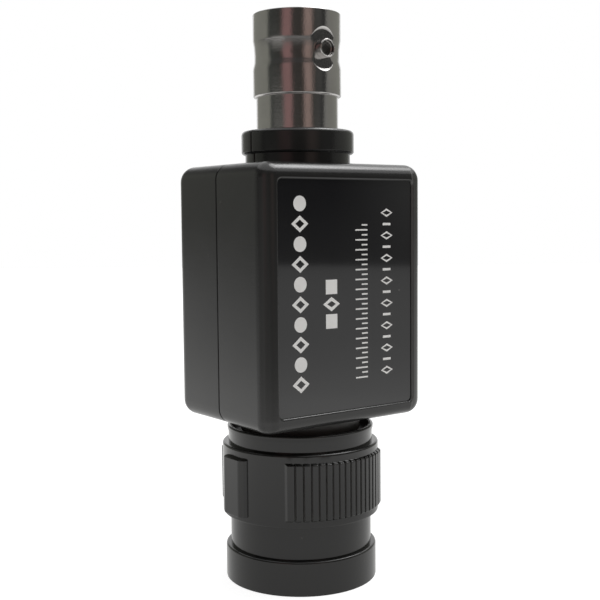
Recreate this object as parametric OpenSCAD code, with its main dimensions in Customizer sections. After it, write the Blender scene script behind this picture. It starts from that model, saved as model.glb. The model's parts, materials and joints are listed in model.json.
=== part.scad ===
// Coaxial signal attenuator: a small two-shell case with a bayonet jack on top
// and a plastic-shrouded bayonet plug below. Millimetres, +Z up, the plug's
// open end on the plane z = 0 and the connectors' common axis on the Z axis.
// The case parts on the plane y = 0, and the label is on the -Y side.

/* [Case] */
// Width of the case, across X
case_w = 21.47; // [21:0.01:23]
// Depth of the front shell, from the parting plane to the front face
case_front = 8.94; // [8.6:0.01:9]
// Depth of the rear shell, from the parting plane to the rear face
case_rear = 8.59; // [8.4:0.01:9]
// Height of the case's underside above the plug's open end
case_z = 18.29; // [18.2:0.01:18.4]
// Height of the case
case_h = 27.69; // [27.5:0.01:28]
// Radius on the case's outer edges
case_r = 1.7; // [1:0.1:1.8]
// Thickness of the case's side, top and bottom walls
case_wall = 1.6; // [1.4:0.05:1.7]
// Gap that shows as the parting line between the shells
seam_gap = 0.08; // [0.04:0.01:0.1]

/* [Label] */
// Half width of the recess for the label
label_half = 8.98; // [8.5:0.02:9.1]
// Depth of the label's face below the front face
label_sunk = 0.28; // [0.2:0.01:0.5]
// Thickness of the label
label_t = 0.25; // [0.2:0.05:0.4]
// Corner radius of the recess
label_r = 0.5; // [0.4:0.1:1.5]

/* [Collars] */
// Radius of the upper collar's flange
collar_r = 6.22; // [6:0.01:6.4]
// Radius of the upper collar's neck
collar_neck_r = 5.8; // [5.6:0.01:5.9]
// Top of the upper collar
collar_top = 49.78; // [49.6:0.01:50.1]
// Radius of the lower collar, inside the coupling's rim
lower_collar_r = 6.7; // [6.4:0.05:6.9]

/* [Jack] */
// Radius of the jack's barrel
jack_r = 4.84; // [4.8:0.01:4.85]
// Top of the jack
jack_top = 62.43; // [62.2:0.01:62.6]
// Radius of the jack's lower step
jack_step_r = 4.51; // [4.4:0.01:4.6]
// Span over the ends of the two bayonet lugs
lug_span = 11.0; // [10.8:0.05:11.2]
// Radius of a bayonet lug
lug_r = 1.0; // [0.9:0.02:1.05]
// Height of the lugs' centre
lug_z = 58.22; // [58.1:0.01:58.4]
// Turn of the lugs about the jack's axis, in degrees
lug_turn = 1; // [-3:0.5:3]
// Radius of the wide mouth of the jack's bore
jack_mouth_r = 4.25; // [4.22:0.01:4.3]
// Radius of the jack's contact bore
jack_bore_r = 4.06; // [4.03:0.01:4.07]
// Radius of the socket in the jack's centre contact
socket_r = 0.69; // [0.68:0.01:0.72]

/* [Plug] */
// Radius of the plug's slotted outer contact
finger_r = 4.03; // [4:0.01:4.04]
// Radius of the plug's centre pin
pin_r = 0.675; // [0.66:0.005:0.68]

/* [Coupling] */
// Radius of the ring at the coupling's open end
front_ring_r = 8.49; // [8.3:0.01:8.6]
// Radius of the waist above that ring
waist_r = 7.94; // [7.8:0.01:8.1]
// Radius of the grip sleeve
grip_r = 8.78; // [8.6:0.01:8.8]
// Radius over the grip's ribs
rib_r = 9.12; // [8.95:0.01:9.15]
// Radius of the rim behind the grip
rim_r = 8.11; // [8:0.01:8.2]
// Radius of the mouth that passes over the mating jack
mouth_r = 6.3; // [6.2:0.05:6.4]
// Number of ribs in each of the two groups
rib_count = 18; // [10:2:18]
// Distance across X from rib to rib
rib_pitch = 0.727; // [0.7:0.001:0.73]
// Width of the slots between the ribs
rib_slot = 0.17; // [0.12:0.01:0.25]
// Distance from face to face over the two side pads
pad_span = 18.7; // [18.4:0.1:18.8]
// Running clearance between the coupling and what it turns on
run_gap = 0.07; // [0.05:0.01:0.09]

/* [Hidden] */
$fn = 96;
case_top = case_z + case_h;              // 45.98
floor_top = case_z + case_wall;          // 19.89
roof_under = case_top - case_wall;       // 44.38
in_x = case_w / 2 - case_wall;           // half width of the space inside
in_front = case_front - 2.04;            // the front wall is thicker, for the recess
in_rear = case_rear - case_wall;
recess_d = label_sunk + label_t + 0.03;
label_lo = case_z + 1.61;
label_hi = case_top - 1.81;
shank_r = 4.0;                           // jack's shank, through the upper collar
shank_flat = 3.7;                        // half distance over the shank's flats
seat_d = 0.24;                           // depth of the flat seats round the lugs
tail_r = 3.6;                            // plug's shank, through the lower collar
tail_flat = 3.3;
neck_r = 4.1;                            // plug's neck, which the coupling turns on
flange_r = 4.9 - run_gap - 0.01;         // plug's flange, inside the bayonet ring
ring_bore_r = 4.9;
ring_out_r = 6.6;
board_y = 0.62;                          // front face of the circuit board
board_t = 1.2;
board_z0 = 23.6;
board_z1 = 40.6;
board_half = 8.4;
lead_r = 0.28;
hole_r = 0.36;
// places on the board, as [x, z]
res_x = [-5.0, -2.3];
res_z = [28.9, 37.4];
shunt_x = [-6.1, -1.1];
shunt_z = 26.3;
disc_at = [0.6, 33.0];
film_at = [4.8, 34.0];
trim_at = [4.4, 28.6];
post_pins = [[-7.4, 25.2], [7.4, 38.4]];
post_plain = [[7.4, 25.2], [-7.4, 38.4]];
// corner bosses with the case's locating pins, as [x, z]
boss_at = [[-7.6, 21.5], [7.6, 21.5], [-7.6, 42.7], [7.6, 42.7]];

// ---------- shared shapes ----------

// a flat rectangle with rounded corners, given by its limits
module round_rect(x0, x1, y0, y1, r) {
  translate([x0 + r, y0]) square([x1 - x0 - 2 * r, y1 - y0]);
  translate([x0, y0 + r]) square([x1 - x0, y1 - y0 - 2 * r]);
  for (x = [x0 + r, x1 - r], y = [y0 + r, y1 - r]) translate([x, y]) circle(r, $fn = 48);
}

// a block whose edges and corners are all rounded to one radius
module round_block(lo, hi, r) {
  a = [lo[0] + r, lo[1] + r, lo[2] + r];
  b = [hi[0] - r, hi[1] - r, hi[2] - r];
  translate([lo[0], a[1], a[2]]) cube([hi[0] - lo[0], b[1] - a[1], b[2] - a[2]]);
  translate([a[0], lo[1], a[2]]) cube([b[0] - a[0], hi[1] - lo[1], b[2] - a[2]]);
  translate([a[0], a[1], lo[2]]) cube([b[0] - a[0], b[1] - a[1], hi[2] - lo[2]]);
  for (x = [a[0], b[0]], y = [a[1], b[1]]) translate([x, y, a[2]]) cylinder(r = r, h = b[2] - a[2], $fn = 48);
  for (x = [a[0], b[0]], z = [a[2], b[2]]) translate([x, a[1], z]) rotate([-90, 0, 0]) cylinder(r = r, h = b[1] - a[1], $fn = 48);
  for (y = [a[1], b[1]], z = [a[2], b[2]]) translate([a[0], y, z]) rotate([0, 90, 0]) cylinder(r = r, h = b[0] - a[0], $fn = 48);
  for (x = [a[0], b[0]], y = [a[1], b[1]], z = [a[2], b[2]]) translate([x, y, z]) sphere(r = r, $fn = 48);
}

// a shank with two flats, which keep a connector from turning in the case
module flatted(r, flat, h) {
  intersection() {
    cylinder(r = r, h = h);
    translate([-r - 1, -flat, -1]) cube([2 * r + 2, 2 * flat, h + 2]);
  }
}

// a straight tube
module tube(r_in, r_out, z0, z1) {
  translate([0, 0, z0]) difference() {
    cylinder(r = r_out, h = z1 - z0);
    translate([0, 0, -1]) cylinder(r = r_in, h = z1 - z0 + 2);
  }
}

// a rod along Y, from y0 to y1
module rod_y(r, x, z, y0, y1, fn = 32) {
  translate([x, y0, z]) rotate([-90, 0, 0]) cylinder(r = r, h = y1 - y0, $fn = fn);
}

// keeps what lies between two limits along Y
module slab_y(y0, y1) {
  translate([-30, y0, -10]) cube([60, y1 - y0, 100]);
}

// ---------- case ----------

// the whole outside of the case, before it is split
module case_outside() {
  round_block([-case_w / 2, -case_front, case_z], [case_w / 2, case_rear, case_top], case_r);
  // upper collar: neck, and a flange with rounded edges
  translate([0, 0, roof_under + 0.5]) cylinder(r = collar_neck_r, h = 47.2 - roof_under - 0.4);
  rotate_extrude() polygon([[0, 47.2], [collar_r - 0.26, 47.2], [collar_r - 0.08, 47.28], [collar_r, 47.46], [collar_r, collar_top - 0.45],
    [collar_r - 0.06, collar_top - 0.22], [collar_r - 0.22, collar_top - 0.06], [collar_r - 0.45, collar_top], [0, collar_top]]);
  // lower collar, with a skirt round the coupling's clip
  translate([0, 0, 16.7]) cylinder(r = lower_collar_r, h = floor_top - 17.2);
}

// everything taken out of the case that both shells share
module case_inside() {
  translate([-in_x, -in_front, floor_top]) cube([2 * in_x, in_front + in_rear, case_h - 2 * case_wall]);
  translate([0, 0, roof_under - 1]) flatted(shank_r + 0.05, shank_flat + 0.05, 8);
  translate([0, 0, 16]) flatted(tail_r + 0.05, tail_flat + 0.05, 6);
  translate([0, 0, 16]) cylinder(r = 5.3, h = 1.02);
}

// front half of the case: label recess, overlapping lip and locating pins
module front_shell() {
  color([0.10, 0.10, 0.10]) union() {
    difference() {
      intersection() {
        case_outside();
        slab_y(-20, -seam_gap / 2);
      }
      case_inside();
      translate([0, -case_front + recess_d, 0]) rotate([90, 0, 0])
        linear_extrude(height = 3) round_rect(-label_half, label_half, label_lo, label_hi, label_r);
    }
    // lip that runs inside the rear shell along both sides
    for (s = [-1, 1]) translate([s > 0 ? in_x + 0.02 : -in_x - 0.62, -1.2, floor_top + 1.5])
      cube([0.6, 1.9, case_h - 2 * case_wall - 3]);
    // bosses and their pins
    for (p = boss_at) {
      rod_y(1.3, p[0], p[1], -in_front - 0.3, -seam_gap / 2);
      rod_y(0.7, p[0], p[1], -1, 1.9);
    }
    // posts that press the board back
    for (p = post_plain) rod_y(0.9, p[0], p[1], -in_front - 0.3, board_y - 0.02);
  }
}

// rear half of the case: rebate for the lip, sockets, and posts for the board
module rear_shell() {
  color([0.10, 0.10, 0.10]) difference() {
    union() {
      difference() {
        intersection() {
          case_outside();
          slab_y(seam_gap / 2, 20);
        }
        case_inside();
        for (s = [-1, 1]) translate([s > 0 ? in_x - 0.2 : -in_x - 0.66, 0, floor_top + 1.44])
          cube([0.86, 0.75, case_h - 2 * case_wall - 2.88]);
      }
      for (p = boss_at) rod_y(1.3, p[0], p[1], seam_gap / 2, in_rear + 0.3);
      for (p = concat(post_pins, post_plain)) rod_y(1.1, p[0], p[1], board_y + board_t + 0.02, in_rear + 0.3);
      for (p = post_pins) rod_y(0.6, p[0], p[1], board_y - 0.4, in_rear);
    }
    for (p = boss_at) rod_y(0.75, p[0], p[1], -1, 2.1);
  }
}

// glossy label that lies in the front recess
module label_panel() {
  color([0.03, 0.03, 0.03]) translate([0, -case_front + label_sunk + label_t, 0]) rotate([90, 0, 0])
    linear_extrude(height = label_t) round_rect(-label_half + 0.08, label_half - 0.08, label_lo + 0.08, label_hi - 0.08, label_r - 0.06);
}

// ---------- jack ----------

// turned barrel: waist, lug seats, stepped bore, and a flatted shank
module jack_body() {
  color([0.55, 0.55, 0.57]) difference() {
    union() {
      rotate_extrude() polygon([[0, collar_top], [jack_step_r, collar_top], [jack_step_r, 53.44], [jack_r - 0.2, 53.44],
        [jack_r - 0.09, 53.47], [jack_r - 0.01, 53.54], [jack_r + 0.02, 53.66], [jack_r + 0.02, 56.35], [jack_r - 0.02, 56.7],
        [jack_r - 0.12, 57.1], [jack_r - 0.15, 57.4], [jack_r - 0.16, 57.85], [jack_r - 0.15, 58.4], [jack_r - 0.105, 58.95],
        [jack_r - 0.045, 59.35], [jack_r, 59.6],
        [jack_r, jack_top - 0.06], [jack_r - 0.06, jack_top], [0, jack_top]]);
      translate([0, 0, 41]) flatted(shank_r, shank_flat, collar_top - 40.5);
    }
    // stepped bore
    translate([0, 0, 59.4]) cylinder(r = jack_mouth_r, h = 5);
    translate([0, 0, jack_top - 0.2]) cylinder(r1 = jack_mouth_r, r2 = jack_mouth_r + 0.2, h = 0.2);
    translate([0, 0, 53.95]) cylinder(r = jack_bore_r, h = 6);
    translate([0, 0, 40]) cylinder(r = 3.2, h = 15);
    // flat seats with sloping walls round the lugs, and the holes for the lugs
    rotate([0, 0, lug_turn]) for (s = [0, 180]) rotate([0, 0, s]) {
      translate([0, -jack_r + seat_d, lug_z]) rotate([90, 0, 0]) cylinder(r1 = 1.98, r2 = 1.98 + 1.5 * (seat_d + 0.6), h = seat_d + 0.6, $fn = 64);
      translate([0, -3, lug_z]) rotate([90, 0, 0]) cylinder(r = lug_r - 0.19, h = 3, $fn = 48);
    }
  }
}

// two hollow-ended pins, each with a shank through the barrel's wall
module jack_lugs() {
  color([0.6, 0.6, 0.62]) rotate([0, 0, lug_turn]) for (s = [0, 180]) rotate([0, 0, s])
    translate([0, 0, lug_z]) rotate([90, 0, 0]) rotate_extrude($fn = 48) polygon([[0, jack_bore_r + 0.04],
      [lug_r - 0.2, jack_bore_r + 0.04], [lug_r - 0.2, jack_r - seat_d + 0.01], [lug_r, jack_r - seat_d + 0.01], [lug_r, lug_span / 2 - 0.12],
      [lug_r - 0.03, lug_span / 2 - 0.04], [lug_r - 0.1, lug_span / 2], [lug_r - 0.17, lug_span / 2 - 0.03],
      [lug_r - 0.2, lug_span / 2 - 0.1], [lug_r - 0.22, lug_span / 2 - 0.42], [0.3, lug_span / 2 - 0.5], [0, lug_span / 2 - 0.5]]);
}

// white insulator: a nose inside the bore, and a body inside the shank
module jack_insulator() {
  color([0.93, 0.92, 0.88]) rotate_extrude() polygon([[0.63, 41.2], [3.18, 41.2], [3.18, 53.93], [2.36, 53.97],
    [2.36, 58.8], [2.21, 58.95], [1.14, 58.95], [1.14, 52.18], [0.63, 52.18]]);
}

// centre contact: a slotted socket with a solder tail
module jack_contact() {
  color([0.85, 0.68, 0.35]) difference() {
    rotate_extrude() polygon([[0, 39], [0.6, 39], [0.6, 52.2], [1.1, 52.2], [1.1, 58.8], [socket_r + 0.12, 58.8],
      [socket_r, 58.68], [socket_r, 54.5], [0, 54.1]]);
    translate([-2, -0.1, 55.6]) cube([4, 0.2, 5]);
  }
}

// solder lug under the jack's nut, with a leg down to the board
module jack_ground_lug() {
  color([0.78, 0.74, 0.6]) difference() {
    union() {
      translate([0, 0, roof_under - 0.42]) cylinder(r = 5.6, h = 0.4);
      translate([-6.2, -1.0, roof_under - 0.42]) cube([2.2, 1.6, 0.4]);
      translate([-6.2, 0.2, 38.9]) cube([1.0, 0.4, roof_under - 38.92]);
    }
    translate([0, 0, roof_under - 1]) flatted(shank_r + 0.04, shank_flat + 0.04, 2);
  }
}

// hexagon nut that clamps the jack to the roof of the case
module jack_nut() {
  color([0.7, 0.7, 0.72]) difference() {
    translate([0, 0, 41.95]) rotate([0, 0, 30]) cylinder(r = 5.74, h = 1.98, $fn = 6);
    translate([0, 0, 41]) cylinder(r = shank_r + 0.02, h = 4);
  }
}

// ---------- divider circuit ----------

// board across the parting plane, with holes for every lead and post
module circuit_board() {
  color([0.1, 0.35, 0.18]) difference() {
    translate([-board_half, board_y, board_z0]) cube([2 * board_half, board_t, board_z1 - board_z0]);
    for (x = res_x, z = res_z) rod_y(hole_r, x, z, 0, 3);
    for (x = shunt_x) rod_y(hole_r, x, shunt_z, 0, 3);
    for (d = [-1.25, 1.25]) {
      rod_y(hole_r, disc_at[0], disc_at[1] + d, 0, 3);
      rod_y(hole_r, film_at[0], film_at[1] + d, 0, 3);
    }
    for (d = [-1.8, 1.8]) rod_y(hole_r, trim_at[0] + d, trim_at[1], 0, 3);
    for (p = post_pins) rod_y(0.65, p[0], p[1], 0, 3);
  }
}

// an axial part along Z at x: coated body, and leads bent through the board
module axial_z(x, z0, z1, zb0, zb1, r, y) {
  translate([x, y, zb0]) rotate_extrude($fn = 48) polygon([[0, 0], [r * 0.6, 0], [r, r * 0.35], [r, r * 0.9],
    [r * 0.9, r * 1.2], [r * 0.9, zb1 - zb0 - r * 1.2], [r, zb1 - zb0 - r * 0.9], [r, zb1 - zb0 - r * 0.35],
    [r * 0.6, zb1 - zb0], [0, zb1 - zb0]]);
  translate([x, y, z0]) cylinder(r = lead_r, h = z1 - z0, $fn = 24);
  for (z = [z0, z1]) {
    rod_y(lead_r, x, z, y, board_y + board_t + 0.7, 24);
    translate([x, y, z]) sphere(r = lead_r, $fn = 24);
  }
}

// two equal resistors that carry the signal
module series_resistors() {
  color([0.3, 0.5, 0.62]) for (x = res_x) axial_z(x, res_z[0], res_z[1], 30, 36.3, 1.15, -0.75);
}

// resistor from the signal to ground, lying across the board
module shunt_resistor() {
  y = -0.5;
  color([0.72, 0.6, 0.42]) translate([shunt_x[0], 0, shunt_z]) rotate([0, 90, 0]) translate([0, 0, 0])
    union() {
      axial_z(0, 0, shunt_x[1] - shunt_x[0], 0.7, shunt_x[1] - shunt_x[0] - 0.7, 0.9, y);
    }
}

// ceramic disc on two legs, across the series resistors
module series_capacitor() {
  color([0.78, 0.45, 0.2]) union() {
    translate([disc_at[0] - 0.85, -2.75, disc_at[1]]) rotate([0, 90, 0]) rotate_extrude($fn = 64)
      polygon([[0, 0], [1.9, 0], [2.25, 0.35], [2.35, 0.85], [2.25, 1.35], [1.9, 1.7], [0, 1.7]]);
    for (d = [-1.25, 1.25]) rod_y(lead_r, disc_at[0], disc_at[1] + d, -2, board_y + board_t + 0.7, 24);
  }
}

// small film block on two legs, from the signal to ground
module shunt_capacitor() {
  color([0.75, 0.62, 0.2]) union() {
    translate([film_at[0] - 1.3, -3.6, film_at[1] - 2.3]) cube([2.6, 4.0, 4.6]);
    for (d = [-1.25, 1.25]) rod_y(lead_r, film_at[0], film_at[1] + d, 0, board_y + board_t + 0.7, 24);
  }
}

// fixed half of the trimming capacitor, with a bearing hole
module trimmer_stator() {
  color([0.9, 0.86, 0.75]) difference() {
    union() {
      rod_y(2.4, trim_at[0], trim_at[1], -1.2, board_y - 0.2, 64);
      for (d = [-1.8, 1.8]) rod_y(lead_r, trim_at[0] + d, trim_at[1], 0, board_y + board_t + 0.7, 24);
    }
    rod_y(0.6, trim_at[0], trim_at[1], -2, 2, 48);
  }
}

// turning half of the trimming capacitor: slotted disc on a pivot
module trimmer_rotor() {
  color([0.8, 0.78, 0.72]) difference() {
    union() {
      rod_y(2.05, trim_at[0], trim_at[1], -2.15, -1.25, 64);
      rod_y(0.55, trim_at[0], trim_at[1], -1.4, board_y - 0.3, 48);
    }
    translate([trim_at[0] - 1.5, -2.3, trim_at[1] - 0.3]) cube([3, 0.6, 0.6]);
  }
}

// ---------- plug ----------

// turned body: flange, bearing neck with a clip groove, and a flatted shank
module plug_body() {
  color([0.6, 0.6, 0.62]) difference() {
    union() {
      rotate_extrude() polygon([[0, 12.5], [flange_r, 12.5], [flange_r, 13.7], [neck_r, 13.7], [neck_r, 16.42],
        [3.75, 16.42], [3.75, 16.95], [neck_r, 16.95], [neck_r, 17.0], [0, 17.0]]);
      translate([0, 0, 16.5]) flatted(tail_r, tail_flat, 6.3);
    }
    translate([0, 0, 12]) cylinder(r = 3.87, h = 1.5);
    translate([0, 0, 12]) cylinder(r = 2.8, h = 12);
  }
}

// sleeve whose slotted end slides into the mating jack's bore
module plug_outer_contact() {
  color([0.66, 0.66, 0.68]) difference() {
    rotate_extrude() polygon([[3.62, 3.6], [finger_r - 0.2, 3.6], [finger_r, 3.8], [finger_r, 11.88],
      [3.85, 11.88], [3.85, 13.45], [3.62, 13.45]]);
    for (a = [45, 135]) rotate([0, 0, a]) translate([-6, -0.25, 3]) cube([12, 0.5, 7.4]);
  }
}

// insulator: a thin nose round the pin, and a body inside the shank
module plug_insulator() {
  color([0.93, 0.92, 0.88]) rotate_extrude() polygon([[2.44, 4.6], [3.1, 4.6], [3.1, 10.8], [3.6, 10.8], [3.6, 13.44],
    [2.78, 13.44], [2.78, 22.6], [0.63, 22.6], [0.63, 11.02], [1.02, 11.02], [1.02, 9.6], [2.44, 9.6]]);
}

// centre pin with a tapered tip, a collar in the insulator and a solder tail
module plug_pin() {
  color([0.85, 0.68, 0.35]) rotate_extrude() polygon([[0, 4.3], [0.2, 4.32], [0.42, 4.5], [pin_r, 5.3],
    [pin_r, 9.62], [1.0, 9.62], [1.0, 11.0], [0.6, 11.0], [0.6, 25.3], [0, 25.3]]);
}

// soft ring that the mating jack's end face presses on
module plug_gasket() {
  color([0.75, 0.3, 0.2]) tube(3.88, 4.76, 11.9, 12.48);
}

// solder lug under the plug's nut, with a leg up to the board
module plug_ground_lug() {
  color([0.78, 0.74, 0.6]) difference() {
    union() {
      translate([0, 0, floor_top + 0.02]) cylinder(r = 5.1, h = 0.4);
      translate([3.8, -1.0, floor_top + 0.02]) cube([2.3, 1.6, 0.4]);
      translate([4.75, 0.2, floor_top + 0.02]) cube([1.35, 0.4, 25.5 - floor_top]);
    }
    translate([0, 0, floor_top - 0.5]) flatted(tail_r + 0.04, tail_flat + 0.04, 2);
  }
}

// hexagon nut that clamps the plug to the floor of the case
module plug_nut() {
  color([0.7, 0.7, 0.72]) difference() {
    translate([0, 0, floor_top + 0.45]) rotate([0, 0, 30]) cylinder(r = 5.15, h = 1.9, $fn = 6);
    translate([0, 0, floor_top]) cylinder(r = tail_r + 0.02, h = 4);
  }
}

// open ring in the neck's groove, which keeps the coupling on
module coupling_clip() {
  color([0.5, 0.5, 0.52]) difference() {
    tube(3.78, 5.0, 16.46, 16.92);
    rotate([0, 0, -90]) linear_extrude(height = 20) polygon([[0, 0], [8, -4.2], [8, 4.2]]);
  }
}

// ---------- coupling ----------

// one turn of a thin ring that rises and falls three times
module wave_spring() {
  n = 60;
  r0 = 4.28; r1 = 4.74; t = 0.2; z0 = 13.73; amp = 0.22;
  pts = [for (i = [0 : n - 1], c = [[r0, 0], [r1, 0], [r1, t], [r0, t]])
    let (a = 360 * i / n) [c[0] * cos(a), c[0] * sin(a), z0 + amp + c[1] + amp * cos(3 * a)]];
  faces = [for (i = [0 : n - 1], k = [0 : 3])
    let (j = (i + 1) % n, m = (k + 1) % 4) [4 * i + k, 4 * i + m, 4 * j + m, 4 * j + k]];
  color([0.62, 0.62, 0.64]) polyhedron(pts, faces, convexity = 6);
}

// flat ring between the spring and the coupling
module thrust_washer() {
  color([0.68, 0.68, 0.7]) tube(neck_r + run_gap - 0.01, 4.8, 14.4, 14.65);
}

// a groove that climbs round the ring: rectangle [r0, r1] by w swept through [angle, z] steps
module climbing_groove(r0, r1, w, a0, z0, a1, z1, n) {
  pts = [for (i = [0 : n])
    let (t = i / n, a = a0 + (a1 - a0) * t, z = z0 + (z1 - z0) * t)
    for (c = [[r0, -w / 2], [r1, -w / 2], [r1, w / 2], [r0, w / 2]])
      [c[0] * cos(a), c[0] * sin(a), z + c[1]]];
  sides = [for (i = [0 : n - 1], k = [0 : 3]) let (m = (k + 1) % 4)
    [4 * i + k, 4 * i + m, 4 * (i + 1) + m, 4 * (i + 1) + k]];
  polyhedron(pts, concat(sides, [[3, 2, 1, 0], [4 * n, 4 * n + 1, 4 * n + 2, 4 * n + 3]]), convexity = 6);
}

// metal liner with the two bayonet grooves
module bayonet_ring() {
  color([0.62, 0.62, 0.64]) difference() {
    union() {
      translate([0, 0, 2.7]) cylinder(r = ring_out_r, h = 12.9);
      // keys that the shroud grips
      for (s = [0, 180]) rotate([0, 0, s]) translate([5.5, -0.6, 11.6]) cube([1.5, 1.2, 4.0]);
    }
    translate([0, 0, 1.7]) cylinder(r = ring_bore_r, h = 13.0);
    translate([0, 0, 1.7]) cylinder(r = neck_r + run_gap, h = 20);
    translate([0, 0, 2.6]) cylinder(r1 = ring_bore_r + 0.35, r2 = ring_bore_r, h = 0.35);
    // each groove: straight way in, climb, and a round seat for the lug
    for (s = [0, 180]) rotate([0, 0, s]) {
      translate([4.4, -1.12, 2.4]) cube([1.4, 2.24, 3.4]);
      climbing_groove(4.4, 5.8, 2.24, -2, 4.8, 76, 8.35, 26);
      rotate([0, 0, 80]) translate([4.4, 0, 7.9]) rotate([0, 90, 0]) cylinder(r = 1.15, h = 1.4, $fn = 48);
    }
  }
}

// moulded grip round the liner: front ring, waist, ribbed sleeve, pads and rear rim
module coupling_shroud() {
  color([0.11, 0.11, 0.11]) difference() {
    union() {
      rotate_extrude() polygon([[0, 0], [front_ring_r - 0.08, 0], [front_ring_r, 0.08],
        [front_ring_r, 3.52], [front_ring_r - 0.04, 3.66], [front_ring_r - 0.14, 3.76], [front_ring_r - 0.28, 3.8],
        [waist_r, 3.8], [waist_r, 7.45], [grip_r - 0.12, 7.45], [grip_r, 7.57],
        [grip_r, 15.12], [grip_r - 0.04, 15.26], [grip_r - 0.14, 15.36], [grip_r - 0.28, 15.4],
        [rim_r, 15.4], [rim_r, 16.55], [rim_r + 0.1, 16.8], [rim_r + 0.12, 17.12], [rim_r + 0.05, 17.22], [rim_r - 0.07, 17.25], [0, 17.25]]);
      // ribs across the front and across the rear, parted by straight slots along Y
      intersection() {
        rotate_extrude() polygon([[7.8, 8.22], [grip_r, 8.22], [rib_r, 8.4], [rib_r, 14.32], [grip_r, 14.5], [7.8, 14.5]]);
        for (s = [-10, 3], k = [0 : rib_count - 1])
          translate([(k - rib_count / 2) * rib_pitch + rib_slot / 2, s, 8]) cube([rib_pitch - rib_slot, 7, 7]);
      }
      // flat pads on both sides, with rounded corners
      for (s = [0, 180]) rotate([0, 0, s]) translate([0, 0, 8.14]) linear_extrude(height = 6.26)
        round_rect(7, pad_span / 2, -2.0, 2.0, 0.8);
    }
    // mouth, seat for the liner, opening round the neck, and the cup behind
    translate([0, 0, -1]) cylinder(r = mouth_r, h = 5);
    translate([0, 0, -0.01]) cylinder(r1 = mouth_r + 0.35, r2 = mouth_r, h = 0.36);
    translate([0, 0, 2.68]) cylinder(r = ring_out_r + 0.02, h = 12.94);
    translate([0, 0, 3]) cylinder(r = 4.5, h = 20);
    translate([0, 0, 16.4]) cylinder(r = 7.76, h = 2);
    for (s = [0, 180]) rotate([0, 0, s]) translate([5.5, -0.63, 11.57]) cube([1.53, 1.26, 4.05]);
  }
}

front_shell();
rear_shell();
label_panel();
jack_body();
jack_lugs();
jack_insulator();
jack_contact();
jack_ground_lug();
jack_nut();
circuit_board();
series_resistors();
shunt_resistor();
series_capacitor();
shunt_capacitor();
trimmer_stator();
trimmer_rotor();
plug_body();
plug_outer_contact();
plug_insulator();
plug_pin();
plug_gasket();
plug_ground_lug();
plug_nut();
coupling_clip();
wave_spring();
thrust_washer();
bayonet_ring();
coupling_shroud();
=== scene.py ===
import bpy
import bmesh
import json
import math
from mathutils import Matrix, Vector

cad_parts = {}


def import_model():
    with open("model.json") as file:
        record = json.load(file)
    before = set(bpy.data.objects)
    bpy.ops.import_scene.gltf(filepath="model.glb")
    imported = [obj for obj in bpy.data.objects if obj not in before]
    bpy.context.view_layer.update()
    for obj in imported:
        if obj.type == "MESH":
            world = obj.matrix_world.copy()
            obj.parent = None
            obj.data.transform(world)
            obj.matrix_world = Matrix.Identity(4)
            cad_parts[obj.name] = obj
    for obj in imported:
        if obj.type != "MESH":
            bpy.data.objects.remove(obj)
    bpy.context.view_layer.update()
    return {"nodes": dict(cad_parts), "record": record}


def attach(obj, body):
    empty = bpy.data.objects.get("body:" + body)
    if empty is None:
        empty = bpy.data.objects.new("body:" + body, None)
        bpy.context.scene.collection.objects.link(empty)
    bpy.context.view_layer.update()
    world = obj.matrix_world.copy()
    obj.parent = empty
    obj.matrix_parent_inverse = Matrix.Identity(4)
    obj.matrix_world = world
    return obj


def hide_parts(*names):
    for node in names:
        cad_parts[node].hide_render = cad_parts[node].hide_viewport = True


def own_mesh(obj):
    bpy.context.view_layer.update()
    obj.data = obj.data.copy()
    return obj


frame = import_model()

scene = bpy.context.scene
nodes = frame["nodes"]
MM = 0.001


# ------------------------------------------------------------------ camera

def make_camera():
    """The photograph's own viewpoint, found by resection from the part's edges."""
    dist, az, height = 115.822, math.radians(-36.2754), 40.095
    yaw, pitch, roll = math.radians(-0.0547), 0.077732, -0.0088255
    a = az + yaw
    centre = Vector((dist * math.sin(az), -dist * math.cos(az), height)) * MM
    fwd = Vector((-math.sin(a) * math.cos(pitch), math.cos(a) * math.cos(pitch), -math.sin(pitch)))
    right = Vector((math.cos(a), math.sin(a), 0))
    up = right.cross(fwd)
    r = right * math.cos(roll) + up * math.sin(roll)
    u = up * math.cos(roll) - right * math.sin(roll)
    cam = bpy.data.cameras.new("camera")
    cam.sensor_fit = "HORIZONTAL"
    cam.sensor_width = 36
    cam.lens = 1035.131 / 600 * 36
    cam.clip_start = 0.002
    cam.clip_end = 20
    ob = bpy.data.objects.new("camera", cam)
    m = Matrix.Identity(4)
    for i in range(3):
        m[i][0], m[i][1], m[i][2], m[i][3] = r[i], u[i], -fwd[i], centre[i]
    ob.matrix_world = m
    scene.collection.objects.link(ob)
    scene.camera = ob


make_camera()


# ------------------------------------------------------------------ shader helpers

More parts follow.
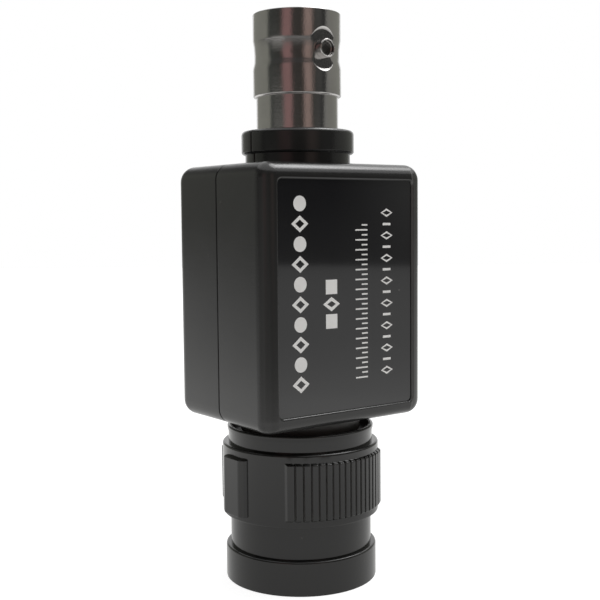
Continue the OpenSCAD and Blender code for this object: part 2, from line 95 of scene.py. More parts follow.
class Net:
    """A small node tree builder."""

    def __init__(self, name):
        self.mat = bpy.data.materials.new(name)
        self.mat.use_nodes = True
        self.t = self.mat.node_tree
        self.t.nodes.clear()
        self.out = self.t.nodes.new("ShaderNodeOutputMaterial")
        self.bsdf = self.t.nodes.new("ShaderNodeBsdfPrincipled")
        self.t.links.new(self.bsdf.outputs[0], self.out.inputs[0])

    def put(self, socket, value):
        if isinstance(value, bpy.types.NodeSocket):
            self.t.links.new(value, socket)
        else:
            socket.default_value = value

    def set(self, name, value):
        self.put(self.bsdf.inputs[name], value)

    def coord(self, scale=(1, 1, 1), rot=(0, 0, 0)):
        c = self.t.nodes.new("ShaderNodeTexCoord")
        m = self.t.nodes.new("ShaderNodeMapping")
        m.inputs["Scale"].default_value = scale
        m.inputs["Rotation"].default_value = rot
        self.t.links.new(c.outputs["Object"], m.inputs["Vector"])
        return m.outputs[0]

    def noise(self, scale, detail=3.0, rough=0.55, vec=None, distortion=0.0):
        n = self.t.nodes.new("ShaderNodeTexNoise")
        n.inputs["Scale"].default_value = scale
        n.inputs["Detail"].default_value = detail
        n.inputs["Roughness"].default_value = rough
        n.inputs["Distortion"].default_value = distortion
        self.t.links.new(vec or self.coord(), n.inputs["Vector"])
        return n.outputs["Fac"]

    def voronoi(self, scale, vec=None, feature="F1", randomness=1.0):
        n = self.t.nodes.new("ShaderNodeTexVoronoi")
        n.feature = feature
        n.inputs["Scale"].default_value = scale
        n.inputs["Randomness"].default_value = randomness
        self.t.links.new(vec or self.coord(), n.inputs["Vector"])
        return n.outputs["Distance"]

    def remap(self, value, a, b, c, d):
        n = self.t.nodes.new("ShaderNodeMapRange")
        n.inputs["From Min"].default_value = a
        n.inputs["From Max"].default_value = b
        n.inputs["To Min"].default_value = c
        n.inputs["To Max"].default_value = d
        self.t.links.new(value, n.inputs["Value"])
        return n.outputs["Result"]

    def math(self, op, a, b=0.0, c=0.0):
        n = self.t.nodes.new("ShaderNodeMath")
        n.operation = op
        for i, v in enumerate((a, b, c)):
            self.put(n.inputs[i], v)
        return n.outputs[0]

    def mix(self, fac, a, b):
        n = self.t.nodes.new("ShaderNodeMix")
        n.data_type = "RGBA"
        self.put(n.inputs["Factor"], fac)
        self.put(n.inputs["A"], a if isinstance(a, bpy.types.NodeSocket) else (*a, 1))
        self.put(n.inputs["B"], b if isinstance(b, bpy.types.NodeSocket) else (*b, 1))
        return n.outputs["Result"]

    def bump(self, height, distance, strength=1.0, normal=None):
        n = self.t.nodes.new("ShaderNodeBump")
        n.inputs["Strength"].default_value = strength
        n.inputs["Distance"].default_value = distance
        self.t.links.new(height, n.inputs["Height"])
        if normal is not None:
            self.t.links.new(normal, n.inputs["Normal"])
        return n.outputs[0]

    def edges(self, low=0.52, high=0.62):
        g = self.t.nodes.new("ShaderNodeNewGeometry")
        return self.remap(g.outputs["Pointiness"], low, high, 0.0, 1.0)


def plastic(name, base, rough, grain_scale, grain_depth, spread=0.05, specks=0.0, ior=1.5, wear=0.35, matte_below=None, cup=None, slots=None, lip=None):
    """Moulded plastic: fine grain, uneven gloss, rubbed edges and a little dust, with painted light in some shaded
    places.
    """
    n = Net(name)
    cloud = n.noise(180, 4, 0.6)
    fine = n.noise(grain_scale, 2, 0.6)
    edge = n.edges(0.53, 0.66)
    light = tuple(min(1, c * 1.8 + 0.01) for c in base)
    tone = n.mix(n.remap(cloud, 0.3, 0.75, 0.0, 0.45), base, tuple(c * 1.25 for c in base))
    tone = n.mix(n.math("MULTIPLY", edge, wear), tone, light)
    if specks:
        dust = n.voronoi(420)
        mask = n.remap(dust, 0.0, 0.055, 1.0, 0.0)
        sel = n.remap(n.noise(260, 1, 0.5), 0.60, 0.64, 0.0, 1.0)
        tone = n.mix(n.math("MULTIPLY", n.math("MULTIPLY", mask, sel), specks), tone, (0.25, 0.24, 0.23))
    gloss = n.remap(n.noise(90, 5, 0.65), 0.25, 0.75, rough - spread, rough + spread)
    if matte_below or cup:
        # the unpolished collar under the case, or the unpolished cup inside the rim: (height, radius); both are also
        # painted paler, as painted light that lifts the shade they sit in
        split = n.t.nodes.new("ShaderNodeSeparateXYZ")
        n.t.links.new(n.coord(), split.inputs[0])
        if matte_below:
            dull_and_painted_fill = n.remap(split.outputs["Z"], matte_below, matte_below - 0.00004, 0.0, 1.0)
        else:
            out = n.math("SQRT", n.math("ADD", n.math("POWER", split.outputs["X"], 2.0), n.math("POWER", split.outputs["Y"], 2.0)))
            dull_and_painted_fill = n.math("MULTIPLY", n.remap(split.outputs["Z"], cup[0], cup[0] + 0.00004, 0.0, 1.0),
                          n.remap(out, cup[1], cup[1] - 0.00004, 0.0, 1.0))
        gloss = n.math("ADD", gloss, n.math("MULTIPLY", dull_and_painted_fill, 0.34))
        # painted light: a paler colour stands in for light that the shaded collar and cup do not get
        tone = n.mix(n.math("MULTIPLY", dull_and_painted_fill, n.remap(cloud, 0.3, 0.75, 0.7, 1.0)), tone, (0.075, 0.074, 0.071))
    if slots:
        # painted light: the slots between the ribs are painted paler to lift their shade: (half width of the ribbed
        # face, from, to, radius)
        wide = n.remap(n.math("ABSOLUTE", split.outputs["X"]), slots[0], slots[0] - 0.00003, 0.0, 1.0)
        band = n.math("MULTIPLY", n.remap(split.outputs["Z"], slots[1], slots[1] + 0.0001, 0.0, 1.0),
                      n.remap(split.outputs["Z"], slots[2], slots[2] - 0.0001, 0.0, 1.0))
        inside = n.remap(out, slots[3], slots[3] - 0.0001, 0.0, 1.0)
        slot_painted_fill = n.math("MULTIPLY", n.math("MULTIPLY", wide, band), n.math("MULTIPLY", inside, n.remap(cloud, 0.3, 0.75, 0.75, 1.0)))
        tone = n.mix(slot_painted_fill, tone, (0.14, 0.138, 0.133))
    if lip:
        # painted light: the lip at the right of the label is painted paler to lift its shade: (from, to, behind)
        strip = n.math("MULTIPLY", n.remap(split.outputs["X"], lip[0], lip[0] + 0.00005, 0.0, 1.0),
                       n.remap(split.outputs["X"], lip[1], lip[1] - 0.0003, 0.0, 1.0))
        strip = n.math("MULTIPLY", strip, n.remap(split.outputs["Y"], lip[2], lip[2] - 0.0001, 0.0, 1.0))
        tone = n.mix(n.math("MULTIPLY", strip, n.remap(cloud, 0.3, 0.75, 0.8, 1.0)), tone, (0.044, 0.0435, 0.0425))
        # painted light: paler still against the recess's wall, which faces away from the light
        wall = n.math("MULTIPLY", strip, n.remap(split.outputs["X"], lip[0] + 0.0003, lip[0] + 0.00018, 0.0, 1.0))
        tone = n.mix(wall, tone, (0.09, 0.089, 0.086))
    n.set("Base Color", tone)
    n.set("Roughness", gloss)
    n.bsdf.inputs["IOR"].default_value = ior
    n.set("Normal", n.bump(fine, grain_depth))
    return n.mat


def metal(name, base, rough, turned=True, spread=0.06, tint=None, depth=0.000004, pits=0.0, grain=1500, pocket=None):
    """Plated metal: faint turning lines, cloudy gloss and rubbed edges."""
    n = Net(name)
    vec = n.coord((1, 1, 26)) if turned else n.coord()
    lines = n.noise(260, 3, 0.6, vec)
    cloud = n.noise(240, 5, 0.65)
    edge = n.edges(0.52, 0.64)
    tone = n.mix(n.remap(cloud, 0.3, 0.7, 0.0, 1.0), base, tint or tuple(c * 0.86 for c in base))
    tone = n.mix(n.math("MULTIPLY", edge, 0.5), tone, tuple(min(1, c * 1.35) for c in base))
    gloss = n.remap(n.noise(300, 4, 0.6, vec), 0.3, 0.7, rough - spread, rough + spread)
    if pocket:
        # the hollow ends of the lugs are coloured darker and made rougher: (height of their axis, radius, reach)
        split = n.t.nodes.new("ShaderNodeSeparateXYZ")
        n.t.links.new(n.coord(), split.inputs[0])
        up = n.math("SUBTRACT", split.outputs["Z"], pocket[0])
        off = n.math("SQRT", n.math("ADD", n.math("POWER", up, 2.0), n.math("POWER", split.outputs["X"], 2.0)))
        deep = n.math("MULTIPLY", n.remap(off, pocket[1], pocket[1] - 0.00002, 0.0, 1.0),
                      n.remap(n.math("ABSOLUTE", split.outputs["Y"]), pocket[2], pocket[2] - 0.00003, 0.0, 1.0))
        deep = n.math("MULTIPLY", deep, n.remap(n.noise(9000, 2, 0.5), 0.4, 0.6, 0.72, 1.0))
        tone = n.mix(deep, tone, (0.035, 0.033, 0.03))
        gloss = n.math("ADD", gloss, n.math("MULTIPLY", deep, 0.3))
    n.set("Base Color", tone)
    n.bsdf.inputs["Metallic"].default_value = 1.0
    n.set("Roughness", gloss)
    nrm = n.bump(lines, depth)
    if pits:
        nrm = n.bump(n.noise(grain, 2, 0.6), pits, 1.0, nrm)
    n.set("Normal", nrm)
    return n.mat


MATS = {
    "case_plastic": plastic("case_plastic", (0.0155, 0.0155, 0.0151), 0.21, 5200, 0.000006, 0.04, 0.5, matte_below=0.01827,
                            lip=(0.00885, 0.00965, -0.0085)),
    "label_gloss": plastic("label_gloss", (0.008, 0.008, 0.009), 0.05, 900, 0.0000003, 0.015, 0.6, ior=1.58, wear=0.15),
    "coupling_plastic": plastic("coupling_plastic", (0.012, 0.0119, 0.0115), 0.125, 3600, 0.000004, 0.03, 0.35, ior=1.48, cup=(0.0163, 0.00795),
                                slots=(0.0064, 0.0084, 0.01432, 0.00908)),
    "dark_plate": metal("dark_plate", (0.50, 0.485, 0.475), 0.11, spread=0.04, pits=0.000012, grain=6500, pocket=(0.05822, 0.00079, 0.00545)),
    "bright_plate": metal("bright_plate", (0.62, 0.61, 0.60), 0.2),
    "gold_plate": metal("gold_plate", (0.9, 0.66, 0.28), 0.18, tint=(0.8, 0.55, 0.22)),
    "insulator_white": plastic("insulator_white", (0.78, 0.77, 0.73), 0.45, 2500, 0.000004, 0.05, 0.0, 1.38, 0.1),
    "seal_rubber": plastic("seal_rubber", (0.36, 0.075, 0.04), 0.62, 4000, 0.00001, 0.06, 0.0),
    "spring_steel": metal("spring_steel", (0.52, 0.52, 0.53), 0.24, turned=False),
    "tinned_brass": metal("tinned_brass", (0.66, 0.62, 0.5), 0.32, turned=False, tint=(0.6, 0.52, 0.36)),
    "board_green": plastic("board_green", (0.018, 0.11, 0.035), 0.3, 1500, 0.000006, 0.06, 0.0),
    "resistor_coat": plastic("resistor_coat", (0.08, 0.24, 0.36), 0.28, 900, 0.00001, 0.06, 0.0),
    "resistor_tan": plastic("resistor_tan", (0.5, 0.34, 0.17), 0.3, 900, 0.00001, 0.06, 0.0),
    "disc_coat": plastic("disc_coat", (0.55, 0.2, 0.04), 0.32, 700, 0.00002, 0.06, 0.0),
    "film_case": plastic("film_case", (0.6, 0.42, 0.06), 0.34, 2500, 0.000006, 0.05, 0.0),
    "trimmer_cream": plastic("trimmer_cream", (0.72, 0.66, 0.5), 0.5, 2500, 0.000006, 0.05, 0.0),
}
PRINT = plastic("label_print", (0.80, 0.80, 0.785), 0.42, 1800, 0.000002, 0.05, 0.0, wear=0.1)

slots = {}
for sp in frame["record"]["subparts"]:
    ob = nodes[sp["node"]]
    slots[sp["node"]] = sp["material_slot"]
    ob.data.materials.clear()
    ob.data.materials.append(MATS[sp["material_slot"]])


# ------------------------------------------------------------------ eased edges

def area_normals(me, sharp_deg):
    """Smooth shading that keeps the large faces flat and rolls over the small ones."""
    n = len(me.vertices)
    cos_limit = math.cos(math.radians(sharp_deg))
    polys = [(p.normal.copy(), p.area, tuple(p.vertices)) for p in me.polygons]
    at = [[] for _ in range(n)]
    for i, (_, _, vs) in enumerate(polys):
        for v in vs:
            at[v].append(i)
    out = []
    for i, (nrm, area, vs) in enumerate(polys):
        for v in vs:
            acc = Vector((0, 0, 0))
            for j in at[v]:
                if polys[j][0].dot(nrm) > cos_limit:
                    acc += polys[j][0] * polys[j][1]
            out.append(acc.normalized() if acc.length > 0 else nrm)
    me.polygons.foreach_set("use_smooth", [True] * len(me.polygons))
    me.normals_split_custom_set(out)


def clean(name):
    """A working copy of a CAD node with its flat faces merged."""
    bm = bmesh.new()
    bm.from_mesh(nodes[name].data)
    bmesh.ops.remove_doubles(bm, verts=bm.verts, dist=1e-7)
    bmesh.ops.dissolve_limit(bm, angle_limit=math.radians(0.15), verts=bm.verts, edges=bm.edges, use_dissolve_boundaries=False)
    return bm


def ease(bm, width, segments=2, angle=32, skip=None):
    """Rolls the outer edges over by a small radius, in mm."""
    edges = [e for e in bm.edges if e.is_manifold and e.is_convex and e.calc_face_angle(0) > math.radians(angle)
             and not (skip and skip(e))]
    bmesh.ops.bevel(bm, geom=edges, offset=width * MM, offset_type="OFFSET", segments=segments, profile=0.5,
                    affect="EDGES", clamp_overlap=False, miter_outer="SHARP", miter_inner="SHARP")


def stand_in(name, body, bm, cut=None):
    """Puts the finished copy in the place of its CAD node; cut is a mesh taken out of it first."""
    me = bpy.data.meshes.new(name + "_eased")
    bm.to_mesh(me)
    bm.free()
    ob = bpy.data.objects.new(name + "_eased", me)
    scene.collection.objects.link(ob)
    if cut:
        tool = bpy.data.objects.new("tool", cut)
        scene.collection.objects.link(tool)
        mod = ob.modifiers.new("cut", "BOOLEAN")
        mod.operation = "DIFFERENCE"
        mod.object = tool
        mod.solver = "EXACT"
        bpy.context.view_layer.update()
        me = bpy.data.meshes.new_from_object(ob.evaluated_get(bpy.context.evaluated_depsgraph_get()))
        ob.modifiers.clear()
        old, ob.data = ob.data, me
        bpy.data.meshes.remove(old)
        bpy.data.objects.remove(tool)
        bpy.data.meshes.remove(cut)
        me.name = name + "_eased"
        tidy = bmesh.new()
        tidy.from_mesh(me)
        bmesh.ops.remove_doubles(tidy, verts=tidy.verts, dist=1e-6)
        bmesh.ops.dissolve_degenerate(tidy, edges=tidy.edges, dist=1e-6)
        tidy.to_mesh(me)
        tidy.free()
    area_normals(me, 48)
    me.materials.clear()
    me.materials.append(MATS[slots[name]])
    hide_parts(name)
    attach(ob, body)
    return ob


def softened(name, body, width, **how):
    bm = clean(name)
    ease(bm, width, **how)
    return stand_in(name, body, bm)


# the case: half width, underside and top, and the radius of its corners, in mm
HALF, LOW, TOP, ROUND = 10.735, 18.29, 45.98, 1.7
# the label's recess: half width, lower and upper edge, corner radius, and the case's front face
L_HALF, L_LOW, L_TOP, L_ROUND, FRONT = 8.98, 19.90, 44.17, 0.5, -8.94


def inset(x, z):
    """Depth of a point inside the case's outline seen from the front, and the way inwards, in mm."""
    ax, az = HALF - ROUND, (TOP - LOW) / 2 - ROUND
    dx, dz = abs(x) - ax, abs(z - (TOP + LOW) / 2) - az
    sx, sz = math.copysign(1, x), math.copysign(1, z - (TOP + LOW) / 2)
    if dx > 0 and dz > 0:
        r = math.hypot(dx, dz)
        return ROUND - r, (-sx * dx / r, -sz * dz / r)
    if dx > dz:
        return ROUND - dx, (-sx, 0.0)
    return ROUND - dz, (0.0, -sz)


def sink_seam(bm, plane, depth):
    """Draws the parting edge inwards, so the line between the shells is a narrow dark groove."""
    for v in bm.verts:
        if abs(v.co.y / MM - plane) < 0.002:
            d, (nx, nz) = inset(v.co.x / MM, v.co.z / MM)
            if 0.03 < d < 0.25:
                v.co.x += nx * depth * MM
                v.co.z += nz * depth * MM


def outline(grow, steps=10):
    """The recess's outline, larger by grow, as (x, z) in mm, counter-clockwise from the front."""
    out = []
    r = L_ROUND + grow
    for cx, cz, start in ((L_HALF - L_ROUND, L_TOP - L_ROUND, 0), (-L_HALF + L_ROUND, L_TOP - L_ROUND, 90),
                          (-L_HALF + L_ROUND, L_LOW + L_ROUND, 180), (L_HALF - L_ROUND, L_LOW + L_ROUND, 270)):
        for k in range(steps + 1):
            a = math.radians(start + 90 * k / steps)
            out.append((cx + r * math.cos(a), cz + r * math.sin(a)))
    return out


def lip_tool(radius):
    """A flared plug that rounds the edge of the label's recess."""
    bm = bmesh.new()
    stations = [(-0.3, radius + 0.0005)]
    for k in range(9):
        a = math.radians(90 * k / 8)
        # a = 0: on the front face, tangent to it; a = 90 degrees: on the recess's wall
        stations.append((radius * (1 - math.cos(a)), radius * (1 - math.sin(a)) + 0.0005))
    rings = []
    for depth, grow in stations:
        rings.append([bm.verts.new((x * MM, (FRONT + depth) * MM, z * MM)) for x, z in outline(grow)])
    for a, b in zip(rings, rings[1:]):
        n = len(a)
        for i in range(n):
            j = (i + 1) % n
            bm.faces.new((a[i], a[j], b[j], b[i]))
    bm.faces.new(rings[0])
    bm.faces.new(list(reversed(rings[-1])))
    bmesh.ops.recalc_face_normals(bm, faces=bm.faces)
    me = bpy.data.meshes.new("tool")
    bm.to_mesh(me)
    bm.free()
    return me


def fuller(bm, power=3.2):
    """Squares up the case's lower edges a little towards the front, inside the same outline."""
    core_x, front, back, base = HALF - ROUND, FRONT + ROUND, 8.59 - ROUND, LOW + ROUND
    for v in bm.verts:
        x, y, z = (c / MM for c in v.co)
        dx = x - max(-core_x, min(core_x, x))
        dy = y - max(front, min(back, y))
        w, h = base - z, math.hypot(dx, dy)
        if w > 0.02 and h > 0.02 and abs(math.hypot(h, w) - ROUND) < 0.015:
            share = max(0.0, min(1.0, (-y - 1.0) / 6.0)) * max(0.1, min(1.0, (9.6 - x) / 4.5))
            k = ROUND / (h ** power + w ** power) ** (1 / power)
            k = 1 + (k - 1) * share
            v.co = Vector((x - dx + dx * k, y - dy + dy * k, base - w * k)) * MM


def shells():
    bm = clean("front_shell")
    fuller(bm)
    ease(bm, 0.13, skip=lambda e: all(v.co.y < (FRONT + 0.01) * MM for v in e.verts))
    sink_seam(bm, -0.04, 0.25)
    stand_in("front_shell", "body", bm, lip_tool(0.26))
    bm = clean("rear_shell")
    ease(bm, 0.13)
    sink_seam(bm, 0.04, 0.25)
    stand_in("rear_shell", "body", bm)


def panel():
    """The label, drawn out to the walls of its recess."""
    bm = clean("label_panel")
    mid = (L_LOW + L_TOP) / 2
    kx, kz = (L_HALF - 0.006) / max(abs(v.co.x) / MM for v in bm.verts), ((L_TOP - L_LOW) / 2 - 0.006) / max(abs(v.co.z / MM - mid) for v in bm.verts)
    for v in bm.verts:
        v.co.x *= kx
        v.co.z = (mid + (v.co.z / MM - mid) * kz) * MM
    stand_in("label_panel", "body", bm)


shells()
softened("jack_body", "body", 0.025)
panel()
softened("jack_lugs", "body", 0.02)
softened("coupling_shroud", "coupling", 0.08)
softened("bayonet_ring", "coupling", 0.06)
softened("plug_outer_contact", "body", 0.03)


def spring():
    """The wave spring's merged copy stands in for its CAD node, with a mesh of its own."""
    ob = stand_in("wave_spring", "body", clean("wave_spring"))
    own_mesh(ob)


spring()


# ------------------------------------------------------------------ label print

def label_print():
    """Four columns of plain marks, pale on the gloss: diamonds, discs, blocks and ticks."""
    bm = bmesh.new()
    back, face = -8.6585 * MM, -8.672 * MM

    def slab(points):
        """points: (x, z) in mm, counter-clockwise seen from the front"""
        a = [bm.verts.new((x * MM, face, z * MM)) for x, z in points]
        b = [bm.verts.new((x * MM, back, z * MM)) for x, z in points]
        bm.faces.new(a)
        bm.faces.new(list(reversed(b)))
        for i in range(len(a)):
            j = (i + 1) % len(a)
            bm.faces.new((a[j], a[i], b[i], b[j]))

    def bar(x0, x1, z0, z1):
        slab([(x0, z0), (x1, z0), (x1, z1), (x0, z1)])

    def frame_of(outer, inner):
        """a closed band between two outlines with the same number of points"""
        n = len(outer)
        fo = [bm.verts.new((x * MM, face, z * MM)) for x, z in outer]
        fi = [bm.verts.new((x * MM, face, z * MM)) for x, z in inner]
        bo = [bm.verts.new((x * MM, back, z * MM)) for x, z in outer]
        bi = [bm.verts.new((x * MM, back, z * MM)) for x, z in inner]
        for i in range(n):
            j = (i + 1) % n
            bm.faces.new((fo[i], fo[j], fi[j], fi[i]))
            bm.faces.new((bo[j], bo[i], bi[i], bi[j]))
            bm.faces.new((fo[j], fo[i], bo[i], bo[j]))
            bm.faces.new((fi[i], fi[j], bi[j], bi[i]))

    def poly(cx, cz, rx, rz, n, turn):
        return [(cx + rx * math.cos(turn + 2 * math.pi * k / n), cz + rz * math.sin(turn + 2 * math.pi * k / n)) for k in range(n)]

    def diamond(x0, x1, z0, z1, t):
        cx, cz, hx, hz = (x0 + x1) / 2, (z0 + z1) / 2, (x1 - x0) / 2, (z1 - z0) / 2
        frame_of(poly(cx, cz, hx, hz, 4, 0), poly(cx, cz, hx - 1.5 * t, hz - 1.25 * t, 4, 0))

    def disc(x0, x1, z0, z1):
        r = min(x1 - x0, z1 - z0) * 0.46
        slab(poly((x0 + x1) / 2, (z0 + z1) / 2, r, r, 32, 0))

    def cells(z_start, z_end, count, fill):
        step = (z_end - z_start) / count
        return [(i, z_start + i * step, z_start + (i + fill) * step) for i in range(count)]

    # outer left: diamonds and discs in turn
    for i, z0, z1 in cells(22.3, 42.9, 10, 0.84):
        if i % 2:
            disc(-7.25, -5.1, z0, z1)
        else:
            diamond(-7.25, -5.1, z0, z1, 0.34)
    # inner left: two blocks with a diamond between them
    for i, z0, z1 in cells(28.7, 34.1, 3, 0.84):
        if i == 1:
            diamond(-3.25, -1.05, z0, z1, 0.34)
        else:
            bar(-2.9, -1.4, z0, z1)
    # inner right: a row of ticks, every other one long
    for i, z0, z1 in cells(23.1, 39.9, 32, 0.3):
        bar(1.1 if i % 2 == 0 else 1.95, 2.75, z0, z1)
    # outer right: small diamonds with a tick between them
    for i, z0, z1 in cells(23.2, 41.5, 15, 0.74):
        if i % 2:
            bar(4.9, 6.0, (z0 + z1) / 2 - 0.13, (z0 + z1) / 2 + 0.13)
        else:
            diamond(4.6, 6.3, z0, z1, 0.17)
    bmesh.ops.recalc_face_normals(bm, faces=bm.faces)
    me = bpy.data.meshes.new("label_print")
    bm.to_mesh(me)
    bm.free()
    me.materials.append(PRINT)
    ob = bpy.data.objects.new("label_print", me)
    scene.collection.objects.link(ob)
    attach(ob, "body")


label_print()


# ------------------------------------------------------------------ stage and light

VIEW = math.radians(-126.28)   # world azimuth from the part towards the photograph's camera


def floor():
    me = bpy.data.meshes.new("floor")
    me.from_pydata([(-0.76, -0.76, 0), (0.76, -0.76, 0), (0.76, 0.76, 0), (-0.76, 0.76, 0)], [], [(0, 1, 2, 3)])
    ob = bpy.data.objects.new("floor", me)
    ob.rotation_euler = (0, 0, math.radians(-36.3))
    scene.collection.objects.link(ob)
    n = Net("floor")
    spot = n.t.nodes.new("ShaderNodeTexCoord")
    far = n.t.nodes.new("ShaderNodeVectorMath")
    far.operation = "LENGTH"
    n.t.links.new(spot.outputs["Object"], far.inputs[0])
    ramp = n.t.nodes.new("ShaderNodeValToRGB")
    n.t.links.new(n.math("DIVIDE", far.outputs["Value"], 0.8), ramp.inputs[0])
    # painted light: what the part sees of the floor glows by this ramp, with a painted shadow right under the part, a
    # painted pool of light a hand's breadth away, and dimmer towards its edges
    glow = [(0.0, 0.80), (0.03, 0.86), (0.06, 1.0), (0.085, 1.14), (0.105, 1.18), (0.122, 1.14), (0.14, 1.0), (0.18, 0.86), (0.24, 0.77), (0.41, 0.73), (0.76, 0.65)]
    el = ramp.color_ramp.elements
    while len(el) > 1:
        el.remove(el[-1])
    for i, (dist, v) in enumerate(glow):
        e = el[0] if i == 0 else el.new(dist / 0.8)
        e.position = dist / 0.8
        v -= 0.08
        e.color = (v, v, v * 0.985, 1)
    # and it is painted dimmer towards the viewer beyond that
    part = n.t.nodes.new("ShaderNodeSeparateXYZ")
    n.t.links.new(spot.outputs["Object"], part.inputs[0])
    turn = n.math("ARCTAN2", part.outputs["X"], n.math("MULTIPLY", part.outputs["Y"], -1.0))
    sector = n.t.nodes.new("ShaderNodeValToRGB")
    n.t.links.new(n.remap(turn, -math.pi, math.pi, 0.0, 1.0), sector.inputs[0])
    side = sector.color_ramp.elements
    while len(side) > 1:
        side.remove(side[-1])
    for i, (deg, v) in enumerate([(-180, 1.25), (-116, 1.25), (-108, 1.0), (-78, 0.95), (-68, 0.6), (-36, 0.55), (-28, 0.25), (54, 0.25), (66, 1.0), (180, 1.0)]):
        e = side[0] if i == 0 else side.new((deg + 180) / 360)
        e.position = (deg + 180) / 360
        e.color = (v, v, v, 1)
    beyond = n.remap(far.outputs["Value"], 0.08, 0.15, 0.0, 1.0)
    dimmed = n.t.nodes.new("ShaderNodeVectorMath")
    dimmed.operation = "MULTIPLY"
    n.t.links.new(ramp.outputs[0], dimmed.inputs[0])
    n.t.links.new(sector.outputs[0], dimmed.inputs[1])
    lit = n.mix(beyond, ramp.outputs[0], dimmed.outputs[0])
    # painted shade: a darker patch of floor off to the left, further out
    left = n.math("MINIMUM", n.remap(turn, math.radians(-78), math.radians(-92), 0.0, 0.44), n.remap(turn, math.radians(-108), math.radians(-118), 0.44, 0.05))
    left = n.math("MULTIPLY", left, n.remap(far.outputs["Value"], 0.11, 0.36, 0.0, 1.0))
    lit = n.mix(left, lit, (0.0, 0.0, 0.0))
    direct = n.t.nodes.new("ShaderNodeLightPath").outputs["Is Camera Ray"]
    n.set("Base Color", n.mix(direct, (0.05, 0.05, 0.05), n.mix(n.noise(3, 2), (0.31, 0.31, 0.31), (0.33, 0.33, 0.33))))
    n.set("Emission Color", n.mix(direct, lit, (0.86, 0.86, 0.86)))
    n.bsdf.inputs["Emission Strength"].default_value = 1.0
    n.set("Roughness", 0.9)
    n.bsdf.inputs["Specular IOR Level"].default_value = 0.1
    me.materials.append(n.mat)


def overhead():
    """A soft box above the part on the right, a little behind it, with a brighter strip, and the wide dim light of the room over it."""
    for name, energy, wide, lean, side in (("key", 1.25, 34, 24, 114), ("edge", 0.34, 24, 38, 131), ("skirt", 2.1, 100, 12, 150)):
        li = bpy.data.lights.new(name, "SUN")
        li.energy = energy
        li.angle = math.radians(wide)
        ob = bpy.data.objects.new(name, li)
        lean, side = math.radians(lean), VIEW + math.radians(side)
        way = Vector((math.cos(side) * math.sin(lean), math.sin(side) * math.sin(lean), math.cos(lean)))
        ob.rotation_euler = way.to_track_quat("Z", "Y").to_euler()
        scene.collection.objects.link(ob)


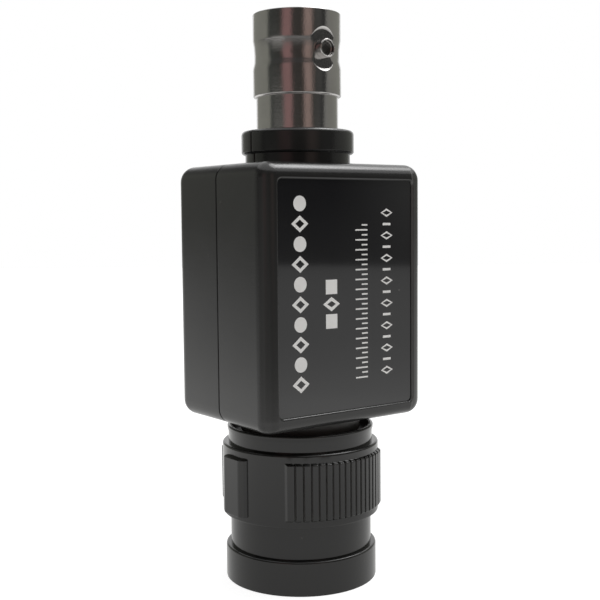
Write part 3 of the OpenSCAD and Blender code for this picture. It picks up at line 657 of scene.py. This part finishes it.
def world():
    """White behind the part, and a dim room with soft vertical bands for reflections."""
    w = bpy.data.worlds.new("studio")
    scene.world = w
    w.use_nodes = True
    t = w.node_tree
    t.nodes.clear()
    new, link = t.nodes.new, t.links.new
    out = new("ShaderNodeOutputWorld")
    seen = new("ShaderNodeBackground")
    seen.inputs[0].default_value = (1, 1, 1, 1)
    seen.inputs[1].default_value = 1.0
    room = new("ShaderNodeBackground")
    coord = new("ShaderNodeTexCoord")
    rot = new("ShaderNodeVectorRotate")
    rot.rotation_type = "Z_AXIS"
    rot.inputs["Angle"].default_value = -VIEW
    sep = new("ShaderNodeSeparateXYZ")
    link(coord.outputs["Generated"], rot.inputs["Vector"])
    link(rot.outputs[0], sep.inputs[0])
    az = new("ShaderNodeMath")
    az.operation = "ARCTAN2"
    link(sep.outputs["Y"], az.inputs[0])
    link(sep.outputs["X"], az.inputs[1])
    ramp_in = new("ShaderNodeMapRange")
    for k, v in (("From Min", -math.pi), ("From Max", math.pi), ("To Min", 0.0), ("To Max", 1.0)):
        ramp_in.inputs[k].default_value = v
    link(az.outputs[0], ramp_in.inputs["Value"])
    ramp = new("ShaderNodeValToRGB")
    link(ramp_in.outputs[0], ramp.inputs[0])
    stops = [(-180, (1, 1, 1)), (-155, (1, 1, 1)), (-148, (0.33, 0.335, 0.30)), (-84, (0.32, 0.325, 0.29)), (-76, (0.07, 0.075, 0.07)),
             (-42, (0.06, 0.06, 0.055)), (-34, (0.35, 0.21, 0.205)), (-17, (0.35, 0.21, 0.205)), (-10, (0.07, 0.065, 0.06)),
             (15, (0.06, 0.055, 0.05)), (23, (0.40, 0.30, 0.27)), (35, (0.39, 0.29, 0.26)), (46, (0.07, 0.07, 0.065)),
             (58, (0.09, 0.09, 0.085)), (68, (0.08, 0.08, 0.078)), (74, (0.04, 0.04, 0.04)), (79, (0.045, 0.045, 0.045)), (85, (0.29, 0.29, 0.275)), (98, (0.30, 0.30, 0.275)),
             (148, (0.34, 0.345, 0.31)), (155, (1, 1, 1)), (180, (1, 1, 1))]
    el = ramp.color_ramp.elements
    while len(el) > 1:
        el.remove(el[-1])
    for i, (deg, col) in enumerate(stops):
        e = el[0] if i == 0 else el.new((deg + 180) / 360)
        e.position = (deg + 180) / 360
        e.color = (*col, 1)
    # the bands fade into an even dim tone well above the horizon
    up = new("ShaderNodeMapRange")
    for k, v in (("From Min", 0.38), ("From Max", 0.55), ("To Min", 0.0), ("To Max", 1.0)):
        up.inputs[k].default_value = v
    link(sep.outputs["Z"], up.inputs["Value"])
    mixc = new("ShaderNodeMix")
    mixc.data_type = "RGBA"
    link(up.outputs[0], mixc.inputs["Factor"])
    link(ramp.outputs[0], mixc.inputs["A"])
    mixc.inputs["B"].default_value = (0.08, 0.08, 0.08, 1)
    # dim below the horizon, beyond the floor's edge
    low = new("ShaderNodeMapRange")
    for k, v in (("From Min", -0.05), ("From Max", 0.02), ("To Min", 1.0), ("To Max", 0.0)):
        low.inputs[k].default_value = v
    link(sep.outputs["Z"], low.inputs["Value"])
    pale = new("ShaderNodeMix")
    pale.data_type = "RGBA"
    link(low.outputs[0], pale.inputs["Factor"])
    # two pale patches low down: one to the left of the viewer, one to the right
    base = mixc.outputs["Result"]
    low_band = new("ShaderNodeMapRange")
    for k, v in (("From Min", 0.05), ("From Max", 0.09), ("To Min", 1.0), ("To Max", 0.0)):
        low_band.inputs[k].default_value = v
    link(sep.outputs["Z"], low_band.inputs["Value"])
    patch = new("ShaderNodeValToRGB")
    link(ramp_in.outputs[0], patch.inputs[0])
    steps = patch.color_ramp.elements
    while len(steps) > 1:
        steps.remove(steps[-1])
    for i, (deg, v) in enumerate([(-180, 0), (-74, 0), (-66, 1), (-40, 1), (-32, 0), (75, 0), (79, 1), (88, 1), (95, 0), (180, 0)]):
        e = steps[0] if i == 0 else steps.new((deg + 180) / 360)
        e.position = (deg + 180) / 360
        e.color = (v, v, v, 1)
    both = new("ShaderNodeMath")
    both.operation = "MULTIPLY"
    link(low_band.outputs[0], both.inputs[0])
    link(patch.outputs[0], both.inputs[1])
    spots = new("ShaderNodeMix")
    spots.data_type = "RGBA"
    link(both.outputs[0], spots.inputs["Factor"])
    link(base, spots.inputs["A"])
    spots.inputs["B"].default_value = (0.30, 0.30, 0.285, 1)
    link(spots.outputs["Result"], pale.inputs["A"])
    pale.inputs["B"].default_value = (0.15, 0.15, 0.145, 1)
    link(pale.outputs["Result"], room.inputs[0])
    room.inputs[1].default_value = 1.0
    lp = new("ShaderNodeLightPath")
    mix = new("ShaderNodeMixShader")
    link(lp.outputs["Is Camera Ray"], mix.inputs[0])
    link(room.outputs[0], mix.inputs[1])
    link(seen.outputs[0], mix.inputs[2])
    link(mix.outputs[0], out.inputs[0])


floor()
world()
overhead()
scene.view_settings.view_transform = "Standard"
scene.view_settings.look = "None"
